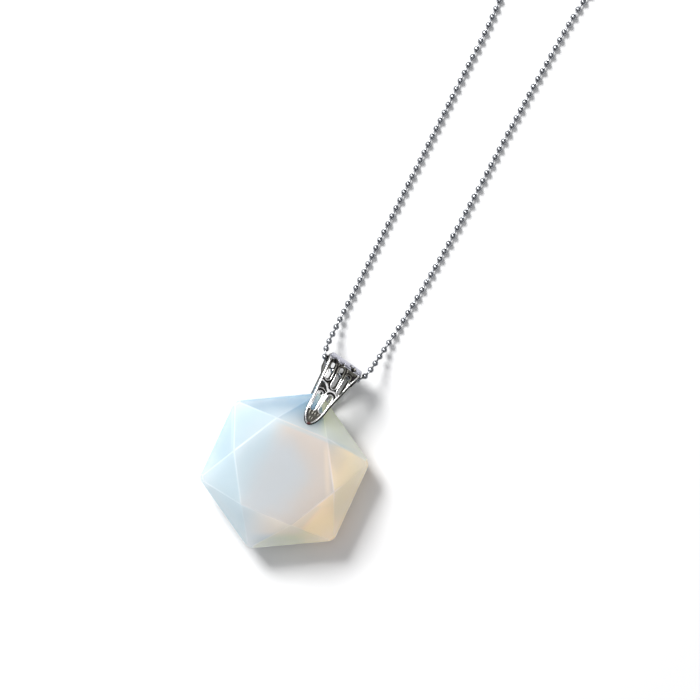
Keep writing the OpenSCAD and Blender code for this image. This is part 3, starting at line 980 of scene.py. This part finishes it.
def relief_at(points):
    """Height of the casting's outer face, as a share of its thickness, at points (across, height) on a leg:
    a plate, lowered by grooves and pits, under the highest of ridges, strut, rim and strap. The rim falls
    away outwards on the right side and round the tip. The height also sets the metal's colour, so the plate
    and ridges lowered at the top carry painted shade, and the fall round the tip a painted contact shadow."""
    x, y = points.T
    upper = to_slots(points, UPPER_SLOTS)
    lower = to_slots(points, LOWER_SLOTS)
    edge = to_edge(points)
    strut = depth_inside(points, STRUT)
    right = fade(x, -0.6, 1.0)
    top = fade(y, 12.0, 14.2)
    # Plate: lower in the tip and at the top, where it is darkened as painted shade, with grooves round the
    # slots and inside the rim, and hollows in the right shoulder and round the corner gap
    plate = 0.60 - 0.18 * fade(y, 3.6, 2.4) - 0.09 * top
    plate -= (0.40 - 0.12 * top) * groove_of(upper, 0.50, 0.26)
    plate -= 0.36 * groove_of(lower, 0.60, 0.22) * (y > 3.0)
    plate -= 0.34 * groove_of(edge, 0.64, 0.2) * fade(y, 8.5, 10)
    plate -= 0.25 * fade(x, 2.8, 3.3) * fade(y, 12.6, 13.4) * fade(y, 15.3, 14.8)
    plate -= 0.40 * fade(-depth_inside(points, CORNER_GAP), 0.5, 0.2)
    # Ridges: round the upper slots, lower towards the top as painted shade, two round the lower ones, the
    # strut's rim and middle, the leg's rim, and the bars between the lower slots and under them
    rim = bead_of(edge, 0.36 + right * (0.16 - 0.18 * top), 0.40 - right * (0.12 + 0.06 * top))
    ridges = [
        bar(0.50 - 0.24 * top, 0.34 - 0.12 * top, bead_of(upper, 0.16, 0.2)),
        bar(0.50, 0.42, bead_of(lower, 0.20, 0.24)) * (y > 2.2),
        bar(0.50, 0.44, bead_of(lower, 0.93, 0.17)) * (y > 7.0),
        bar(0.60, 0.38, bead_of(strut, 0.14, 0.14)),
        bar(0.60, 0.38, (strut > 0.14) * 1.0),
        bar(0.30, 0.70, rim),
        bar(0.50, 0.44, bead_of(to_segment(points, (0.0, 3.5), (-0.1, 7.3)), 0, 0.34)),
        bar(0.30, 0.30, bead_of(to_segment(points, (0.1, 2.3), (0.15, 3.2)), 0, 0.2)),
    ]
    for u, v, r, arm in TIP_LOOPS:
        loop = to_segment(points, (u, v), (u, v + 2 * arm))
        ridges.append(bar(0.43, 0.13, bead_of(loop, r, 0.14)) * (y < v + arm))
    height = np.max([plate, *ridges], axis=0)
    # The rim's fall on the right and round the tip, where it also darkens the edge as a painted contact
    # shadow
    height = np.minimum(height, 1 - 0.82 * right * (1 - np.clip(edge / (0.5 - 0.22 * top), 0, 1) ** 2))
    height = np.minimum(height, 1 - 0.85 * fade(y, 0.6, -0.5) * (1 - np.clip(edge / 0.3, 0, 1) ** 2))
    height = height + (STRAP_RELIEF - height) * fade(y, *STRAP_SPAN)
    for u, v, r in STRAP_PITS:
        ragged = 0.1 * r * np.sin(4 * x + 5 * y)
        height -= 0.72 * fade(np.hypot((x - u) * 0.8, y - v) + ragged, r, 0.6 * r)
    return np.clip(height, LEAST_RELIEF, 1.0)


def inner_painted_light(points):
    """Painted light and shade of the inner face at points (across, height) on a leg: lighter low on its
    right half and in a band beside the left edge, which is grey in the shoulder, darker in the rest of the
    face, and dark along the edge itself."""
    x, y = points.T
    inside = shoulder_half(y) - np.abs(x)
    plain = PAINTED_INNER_MIDDLE + (PAINTED_INNER_LOW - PAINTED_INNER_MIDDLE) * fade(y, 10.0, 8.6) * fade(x, 0.0, 0.6)
    band = PAINTED_INNER_BAND + (PAINTED_INNER_SHOULDER - PAINTED_INNER_BAND) * fade(y, 10.4, 11.2)
    tone_with_painted_light = plain + (band - plain) * fade(inside, 1.0, 0.75) * fade(x, 0.0, -1.0)
    return tone_with_painted_light * (1 - 0.75 * fade(inside, 0.26, 0.14))


def join_parts(name, parts):
    """One mesh, in millimetres, of several closed parts that may overlap."""
    points = []
    faces = []
    count = 0
    for part_points, part_faces in parts:
        points.append(part_points)
        faces += [tuple(int(k) + count for k in face) for face in part_faces]
        count += len(part_points)
    return mesh_object(name, np.concatenate(points), faces)


def cast_bail(settings):
    """Points, faces and colour values of the bail, with painted light and shade on its inner faces: a flat
    blank with openings, its outer face brought to the relief's height, then bent round the loop."""
    holes = [to_flat(dense(CORNER_GAP), 1)]
    for side in (1, -1):
        holes += [to_flat(slot_outline(row), side) for row in (*UPPER_SLOTS, *LOWER_SLOTS)]
    blank = join_parts("bail_blank", [slab(strip_outline(), holes), peg(1), peg(-1)])
    add_modifier(blank, "REMESH", mode="VOXEL", voxel_size=settings.voxel / MM)
    add_modifier(blank, "SMOOTH", factor=0.5, iterations=3)
    flat, faces = worked_out(blank)
    flat[:, 2] = np.where(flat[:, 2] > 0, flat[:, 2] * relief_at(on_leg(flat)), flat[:, 2])
    blank = join_parts("bail_relief", [(flat, faces)])
    add_modifier(blank, "DECIMATE", ratio=min(1.0, BAIL_TRIANGLES / (2 * len(faces))))
    flat, faces = worked_out(blank)
    places = on_leg(flat)
    # The inner faces take painted light and shade in place of their height
    tone_with_painted_light = np.where(flat[:, 2] < INNER_SKIN, inner_painted_light(places), flat[:, 2])
    return at_bail(bend(flat)), faces, {"relief": tone_with_painted_light, "strap": fade(places[:, 1], *STRAP_SPAN)}


def read_attribute(tree, name):
    made = tree.nodes.new("ShaderNodeAttribute")
    made.attribute_name = name
    return made.outputs["Fac"]


def silver_material(settings):
    """Antique silver: bright where it is raised and rubbed, dark and rough in the hollows, and with painted
    light and shade on the inner faces.
    """
    material, tree, shader = new_material("antique_silver", Metallic=1.0)
    rubbed = mix_colours(tree, read_attribute(tree, "strap"), rgba(settings.bright), rgba(settings.strap))
    tarnish = add_group(tree, tarnish_group(), Relief=read_attribute(tree, "relief"), Bright=rubbed,
                        Middle=rgba(settings.middle), Dark=rgba(settings.dark))
    place = add_node(tree, "TexCoord").outputs["Object"]
    off = vector_node(tree, "DISTANCE", place, i1=np.array(COPPER_AT) * MM)
    colour = mix_colours(tree, map_range(tree, off, *COPPER_SPAN), tarnish["Colour"], rgba(settings.copper))
    feed(tree, colour, shader.inputs["Base Color"])
    roughness = add_grain(tree, shader, SILVER_GRAIN)
    roughness = with_share(tree, roughness, tarnish["Dullness"], DULL_ROUGHNESS)
    feed(tree, roughness, shader.inputs["Roughness"])
    return material


class NECKLACE_OT_bail(Operator):
    """Casts the pierced bail with its rims, strut and ridges, and bends it round its loop"""
    bl_idname = "necklace.bail"
    bl_label = "Bail"

    def execute(self, context):
        settings = context.scene.necklace_bail
        points, faces, attributes = cast_bail(settings)
        silver = [silver_material(settings)]
        bail = add_piece("silver_bail", points, faces, silver, attributes=attributes)
        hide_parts("bail")
        return {"FINISHED"}


# Chain

def route_joints():
    """Middles of the gaps between beads: a smooth curve through the route's points, cut into equal lengths.
    Between two points the curve is a cubic whose end directions weigh the neighbouring spans by distance."""
    route = np.array([(*point, GROUND_Z)[:3] for point in ROUTE], float)
    spans = np.concatenate([[[-1, 0, 0]], np.diff(route, axis=0), [[-1, 0, 0]]])
    lengths = np.linalg.norm(spans, axis=1)[:, None]
    ways = spans / lengths
    slopes = (ways[:-1] * lengths[1:] + ways[1:] * lengths[:-1]) / (lengths[:-1] + lengths[1:])
    t = (np.arange(ROUTE_STEPS) / ROUTE_STEPS)[None, :, None]
    u = 1 - t
    a, b = route[:-1, None], route[1:, None]
    bow = lengths[1:-1, None] * t * u * (slopes[:-1, None] * u - slopes[1:, None] * t)
    curve = (a * u * u * (1 + 2 * t) + b * t * t * (3 - 2 * t) + bow).reshape(-1, 3)
    curve[:, 2] = np.maximum(curve[:, 2], GROUND_Z)
    start = np.array([-END_PLAY / 2, CLASP_Y, CLASP_Z])
    half = clasp_half()
    finish = start * [-1, 1, 1]
    way = np.concatenate([[start, start - [half, 0, 0]], curve, [route[-1], finish + [half, 0, 0], finish]])
    along = distances(way)
    count = round(along[-1] / PITCH)
    stops = along[-1] * np.arange(count + 1) / count
    return np.stack([np.interp(stops, along, way[:, k]) for k in range(3)], -1)


def clasp_half():
    """Half the clasp's length: it ends just short of the second bead on each side."""
    return END_PLAY / 2 + 1.5 * PITCH - BEAD_D / 2 - BEAD_PLAY


def turned_copies(profile, sides, centres, ways, capped=False):
    """Points and faces of a profile of (radius, distance along the axis) spun round each of many axes. It
    closes on itself, or has a flat cap at each end."""
    a = 2 * np.pi * np.arange(sides) / sides
    side = unit(np.cross(ways, [0, 0, 1.0]))
    up = np.cross(side, ways)
    round_way = side[:, None] * np.cos(a)[None, :, None] + up[:, None] * np.sin(a)[None, :, None]
    profile = np.asarray(profile, float)
    if profile.ndim == 2:
        profile = np.broadcast_to(profile, (len(centres), *profile.shape))
    radii = profile[:, :, 0, None, None]
    reach = profile[:, :, 1, None, None]
    points = centres[:, None, None] + radii * round_way[:, None] + reach * ways[:, None, None]
    rows = profile.shape[1]
    parts = [grid_faces(rows, sides, closed_rows=not capped)]
    if capped:
        rim = np.arange(sides)
        parts.append(np.stack([rim[::-1], (rows - 1) * sides + rim]))
    starts = (np.arange(len(centres)) * rows * sides)[:, None, None]
    faces = [face for part in parts for face in (part + starts).reshape(-1, part.shape[1]).tolist()]
    return points.reshape(-1, 3), faces


def bead_profile():
    """A hollow ball's wall from hole to hole, outside and back inside: r = R sin a, z = -R cos a."""
    hole = math.asin(BEAD_HOLE / (BEAD_D / 2))
    a = np.linspace(hole, math.pi - hole, BEAD_STEPS)
    outside = BEAD_D / 2 * np.stack([np.sin(a), -np.cos(a)], -1)
    return np.concatenate([outside, [BEAD_BORE], [BEAD_BORE] * np.array([1, -1])])


def steel_material(settings, name, grain, share=1.0):
    """Polished metal, a little uneven and hazy, in a share of the beads' colour."""
    material, tree, shader = new_material(name, Metallic=1.0, Specular_Tint=EDGE_TINT)
    place = add_node(tree, "TexCoord").outputs["Object"]
    haze = add_node(tree, "TexNoise", Vector=place, Scale=HAZE_SCALE, Detail=2.0)
    metal = np.array(settings.metal) * share
    dark, pale = (rgba(np.minimum(metal * part, 1.0)) for part in HAZE_SHARES)
    feed(tree, mix_colours(tree, haze.outputs[0], dark, pale), shader.inputs["Base Color"])
    feed(tree, add_grain(tree, shader, grain), shader.inputs["Roughness"])
    return material


class NECKLACE_OT_chain(Operator):
    """Strings the beads and their links along the chain's way"""
    bl_idname = "necklace.chain"
    bl_label = "Chain"

    def execute(self, context):
        settings = context.scene.necklace_chain
        joints = route_joints()
        centres = (joints[1:] + joints[:-1]) / 2
        ways = unit(joints[1:] - joints[:-1])
        points, faces = turned_copies(bead_profile(), settings.sides, centres, ways)
        steel = steel_material(settings, "bead_metal", BEAD_GRAIN)
        beads = add_piece("chain_beads", points, faces, [steel])
        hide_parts("ball_chain")

        heads = np.concatenate([joints[:1], centres + ways * LINK_END])
        tails = np.concatenate([centres - ways * LINK_END, joints[-1:]])
        halves = np.linalg.norm(tails - heads, axis=1) / 2
        radii = settings.neck / MM / 2 * np.array(LINK_RADII)
        radii = np.broadcast_to(radii, (len(halves), len(radii)))
        profiles = np.stack([radii, halves[:, None] * LINK_PLACES], -1)
        middles = (heads + tails) / 2
        points, faces = turned_copies(profiles, LINK_SIDES, middles, unit(tails - heads), capped=True)
        steel = steel_material(settings, "wire_metal", WIRE_GRAIN, WIRE_SHARE)
        links = add_piece("chain_links", points, faces, [steel])
        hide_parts("chain_wire")
        return {"FINISHED"}


def clasp_profile():
    """The barrel's wall as (radius, distance from the middle): a rolled end, two grooves and the other end
    outside, and back inside; an end is a quarter circle, r + R sin a, z + R cos a."""
    half = clasp_half()
    outer = CLASP_D / 2 - CLASP_INSET
    a = np.radians(np.linspace(0, 90, ROLL_STEPS))
    roll = [outer - CLASP_ROLL, half - CLASP_ROLL] + CLASP_ROLL * np.stack([np.sin(a), np.cos(a)], -1)
    right = np.concatenate([[[CLASP_HOLE, half - CLASP_LIP]], roll, [outer, 0] + np.array(CLASP_GROOVE)])
    inside = half - CLASP_WALL
    inner = np.array([[outer - CLASP_WALL, inside - CLASP_SLOPE], [CLASP_HOLE, inside]])
    mirror = np.array([1, -1])
    return np.concatenate([right, right[::-1] * mirror, inner[::-1] * mirror, inner])[::-1]


class NECKLACE_OT_clasp(Operator):
    """Turns the barrel clasp, rolled in at its ends round the chain"""
    bl_idname = "necklace.clasp"
    bl_label = "Clasp"

    def execute(self, context):
        centre = np.array([[0, CLASP_Y, CLASP_Z]])
        points, faces = turned_copies(clasp_profile(), CLASP_SIDES, centre, np.array([[1.0, 0, 0]]))
        steel = steel_material(context.scene.necklace_chain, "clasp_metal", CLASP_GRAIN)
        clasp = add_piece("barrel_clasp", points, faces, [steel])
        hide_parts("clasp")
        return {"FINISHED"}


# Stage

def look_from_above(context, settings):
    """Puts the camera straight above the middle of the view, far off with a long lens."""
    camera = bpy.data.cameras.new("camera")
    camera.lens = settings.lens
    camera.clip_end = CLIP_END
    seen = new_object("camera", camera)
    height = settings.view_width * settings.lens / camera.sensor_width
    seen.location = (*VIEW_MIDDLE, height + MID_Z * MM)
    seen.rotation_euler = (0.0, 0.0, settings.roll)
    context.scene.camera = seen


def add_key_light(settings):
    """A square soft light from the picture's upper left."""
    way = KEY_WAY + settings.roll
    direction = Vector((math.cos(way), math.sin(way), KEY_RISE)).normalized()
    lamp = bpy.data.lights.new("key_light", "AREA")
    lamp.size = KEY_SIZE
    lamp.energy = settings.key
    light = new_object("key_light", lamp)
    light.location = Vector(KEY_TARGET) + direction * KEY_DISTANCE
    light.rotation_euler = direction.to_track_quat("Z", "Y").to_euler()


def studio_world(scene):
    """Room light: a bright soft patch overhead, pale round it and dark towards the level of the table."""
    world = bpy.data.worlds.new("studio")
    world.use_nodes = True
    tree = world.node_tree
    height = height_of(tree, add_node(tree, "TexCoord").outputs["Generated"])
    low, walls, ceiling = ROOM_COLOURS
    colour = mix_colours(tree, map_range(tree, height, *WALL_SPAN), low, walls)
    colour = mix_colours(tree, map_range(tree, height, *CEILING_SPAN), colour, ceiling)
    feed(tree, colour, tree.nodes["Background"].inputs["Color"])
    scene.world = world


def lay_floor(settings):
    """A wide flat floor just under the necklace."""
    corners = [(x * FLOOR_HALF, y * FLOOR_HALF, FLOOR_Z) for x, y in ((-1, -1), (1, -1), (1, 1), (-1, 1))]
    floor = mesh_object("floor", corners, [(0, 1, 2, 3)])
    pale = new_material("floor", Base_Color=rgba(settings.floor), Roughness=FLOOR_ROUGHNESS)[0]
    floor.data.materials.append(pale)


class NECKLACE_OT_stage(Operator):
    """Lays the pale floor and sets the camera and the soft light"""
    bl_idname = "necklace.stage"
    bl_label = "Stage"

    def execute(self, context):
        settings = context.scene.necklace_stage
        lay_floor(settings)
        look_from_above(context, settings)
        studio_world(context.scene)
        add_key_light(settings)
        context.scene.view_settings.view_transform = "Standard"
        return {"FINISHED"}


class NECKLACE_PT_panel(Panel):
    """Lists the pieces of the necklace and their settings"""
    bl_idname = "NECKLACE_PT_panel"
    bl_label = "Opal Necklace"
    bl_space_type = "VIEW_3D"
    bl_region_type = "UI"
    bl_category = "Necklace"

    def draw(self, context):
        for name, group in GROUPS.items():
            settings = getattr(context.scene, name)
            box = self.layout.box()
            for key in group.__annotations__:
                box.prop(settings, key)
        for operator in OPERATORS:
            self.layout.operator(operator.bl_idname)


GROUPS = {
    "necklace_stone": NecklaceStone,
    "necklace_bail": NecklaceBail,
    "necklace_chain": NecklaceChain,
    "necklace_stage": NecklaceStage,
}
OPERATORS = (NECKLACE_OT_stage, NECKLACE_OT_stone, NECKLACE_OT_bail, NECKLACE_OT_chain, NECKLACE_OT_clasp)


def register():
    for group in (*GROUPS.values(), *OPERATORS, NECKLACE_PT_panel):
        bpy.utils.register_class(group)
    for name, group in GROUPS.items():
        setattr(bpy.types.Scene, name, PointerProperty(type=group))


def unregister():
    for name in GROUPS:
        delattr(bpy.types.Scene, name)
    for group in (NECKLACE_PT_panel, *OPERATORS[::-1], *GROUPS.values()):
        bpy.utils.unregister_class(group)


def main():
    register()
    bpy.ops.necklace.stage()
    bpy.ops.necklace.stone()
    bpy.ops.necklace.bail()
    bpy.ops.necklace.chain()
    bpy.ops.necklace.clasp()


if __name__ == "__main__":
    main()
